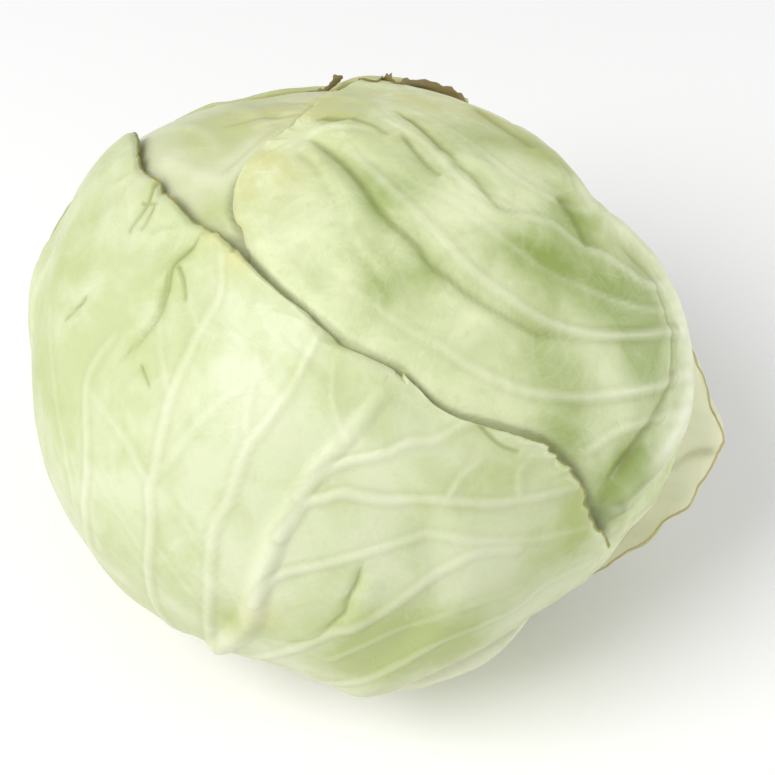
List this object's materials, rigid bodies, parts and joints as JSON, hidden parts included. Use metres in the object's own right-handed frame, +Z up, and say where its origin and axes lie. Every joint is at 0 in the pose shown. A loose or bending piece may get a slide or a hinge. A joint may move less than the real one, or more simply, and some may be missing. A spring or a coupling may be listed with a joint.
{
  "type": "cabbage head",
  "caption": "White cabbage head: a dense round heart wrapped by overlapping ribbed outer leaves with waved margins, on a cut stem stub, lying tilted on a small flat spot.",
  "frame": {"origin": "centre of the small flat spot that the head rests on, straight below the middle of the head", "axes": "+Z up, +X to the right and -Y toward the viewer of the picture; the stem points down, toward -X and -Y"},
  "size_m": [0.2083, 0.1877, 0.168],
  "materials": {
    "heart": "smooth pale yellow-green inner leaves with a faint waxy sheen",
    "cut_stem": "cut face of the stem, cream, dried at the rim",
    "leaf_green": "waxy green outer leaf with a pale rib and veins",
    "leaf_dry": "waxy outer leaf, its margin dried brown and torn",
    "leaf_under": "waxy outer leaf, paler on its inner side",
    "leaf_pale": "waxy pale green outer leaf with whitish veins"
  },
  "bodies": {
    "root": {"inner_head": "heart", "stem_stub": "cut_stem", "leaf_crown": "leaf_green", "leaf_back": "leaf_dry", "leaf_under": "leaf_under", "leaf_front": "leaf_pale"}
  },
  "joints": []
}
